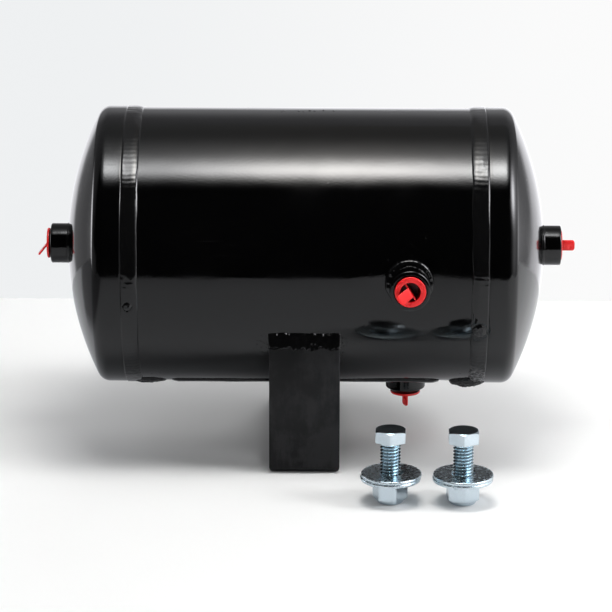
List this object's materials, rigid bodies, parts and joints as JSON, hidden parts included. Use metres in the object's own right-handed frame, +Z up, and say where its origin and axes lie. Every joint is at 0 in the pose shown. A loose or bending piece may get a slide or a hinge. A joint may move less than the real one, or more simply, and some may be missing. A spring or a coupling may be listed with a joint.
{
  "type": "air receiver tank",
  "caption": "Small horizontal air receiver tank on a U-shaped foot bracket, with welded-in pipe ports closed by pull-tab plugs and the bolt, washer and lock nut sets for its foot.",
  "frame": {"origin": "centre of the foot bracket's flat underside, where it sits on the surface it is bolted to", "axes": "+X along the tank towards the port on its right-hand end, +Z up, -Y the way the front port faces"},
  "size_m": [0.3001, 0.2046, 0.1896],
  "materials": {
    "gloss_paint": "high-gloss black paint over welded steel",
    "bracket_paint": "satin black paint over flat steel strap",
    "plug_plastic": "moulded low-density polyethylene, bright red",
    "zinc": "bright zinc plating",
    "nylon": "moulded nylon locking ring"
  },
  "bodies": {
    "tank": {"shell": "gloss_paint", "head_left": "gloss_paint", "head_right": "gloss_paint", "girth_weld_left": "gloss_paint", "girth_weld_right": "gloss_paint", "seam_weld": "gloss_paint", "port_bung_left": "gloss_paint", "port_bung_right": "gloss_paint", "port_bung_front": "gloss_paint", "port_bung_drain": "gloss_paint", "bung_weld_left": "gloss_paint", "bung_weld_right": "gloss_paint", "bung_weld_front": "gloss_paint", "bung_weld_drain": "gloss_paint", "foot_bracket": "bracket_paint", "bracket_weld_front": "gloss_paint", "bracket_weld_rear": "gloss_paint"},
    "left_plug": {"plug_left": "plug_plastic"},
    "right_plug": {"plug_right": "plug_plastic"},
    "front_plug": {"plug_front": "plug_plastic"},
    "drain_plug": {"plug_drain": "plug_plastic"},
    "nut_a": {"lock_nut_a": "zinc", "nylon_insert_a": "nylon"},
    "bolt_a": {"bolt_a": "zinc"},
    "lower_washer_a": {"washer_lower_a": "zinc"},
    "upper_washer_a": {"washer_upper_a": "zinc"},
    "nut_b": {"lock_nut_b": "zinc", "nylon_insert_b": "nylon"},
    "bolt_b": {"bolt_b": "zinc"},
    "lower_washer_b": {"washer_lower_b": "zinc"},
    "upper_washer_b": {"washer_upper_b": "zinc"}
  },
  "joints": [
    {"name": "left_plug_pull", "type": "slide", "parent": "tank", "child": "left_plug", "axis": [-1, 0, 0], "range_m": [0, 0.02]},
    {"name": "right_plug_pull", "type": "slide", "parent": "tank", "child": "right_plug", "axis": [1, 0, 0], "range_m": [0, 0.02]},
    {"name": "front_plug_pull", "type": "slide", "parent": "tank", "child": "front_plug", "axis": [0, -0.9999, -0.0122], "range_m": [0, 0.02]},
    {"name": "drain_plug_pull", "type": "slide", "parent": "tank", "child": "drain_plug", "axis": [0, 0, -1], "range_m": [0, 0.01]},
    {"name": "nut_a_spin", "type": "hinge", "parent": "tank", "child": "nut_a", "pos_m": [0.0464, -0.1102, 0], "axis": [0, 0, -1], "range_deg": [0, 2160]},
    {"name": "bolt_a_rise", "type": "slide", "parent": "tank", "child": "bolt_a", "axis": [0, 0, 1], "range_m": [0, 0.01089]},
    {"name": "lower_washer_a_lift", "type": "slide", "parent": "tank", "child": "lower_washer_a", "axis": [0, 0, 1], "range_m": [0, 0.008]},
    {"name": "upper_washer_a_lift", "type": "slide", "parent": "lower_washer_a", "child": "upper_washer_a", "axis": [0, 0, 1], "range_m": [0, 0.008]},
    {"name": "nut_b_spin", "type": "hinge", "parent": "tank", "child": "nut_b", "pos_m": [0.0853, -0.1112, 0], "axis": [0, 0, -1], "range_deg": [0, 2160]},
    {"name": "bolt_b_rise", "type": "slide", "parent": "tank", "child": "bolt_b", "axis": [0, 0, 1], "range_m": [0, 0.01089]},
    {"name": "lower_washer_b_lift", "type": "slide", "parent": "tank", "child": "lower_washer_b", "axis": [0, 0, 1], "range_m": [0, 0.008]},
    {"name": "upper_washer_b_lift", "type": "slide", "parent": "lower_washer_b", "child": "upper_washer_b", "axis": [0, 0, 1], "range_m": [0, 0.008]}
  ],
  "couplings": [
    {"joint": "nut_a_spin", "follows": "bolt_a_rise", "rad_per_m": 3463.2},
    {"joint": "nut_b_spin", "follows": "bolt_b_rise", "rad_per_m": 3463.2}
  ]
}
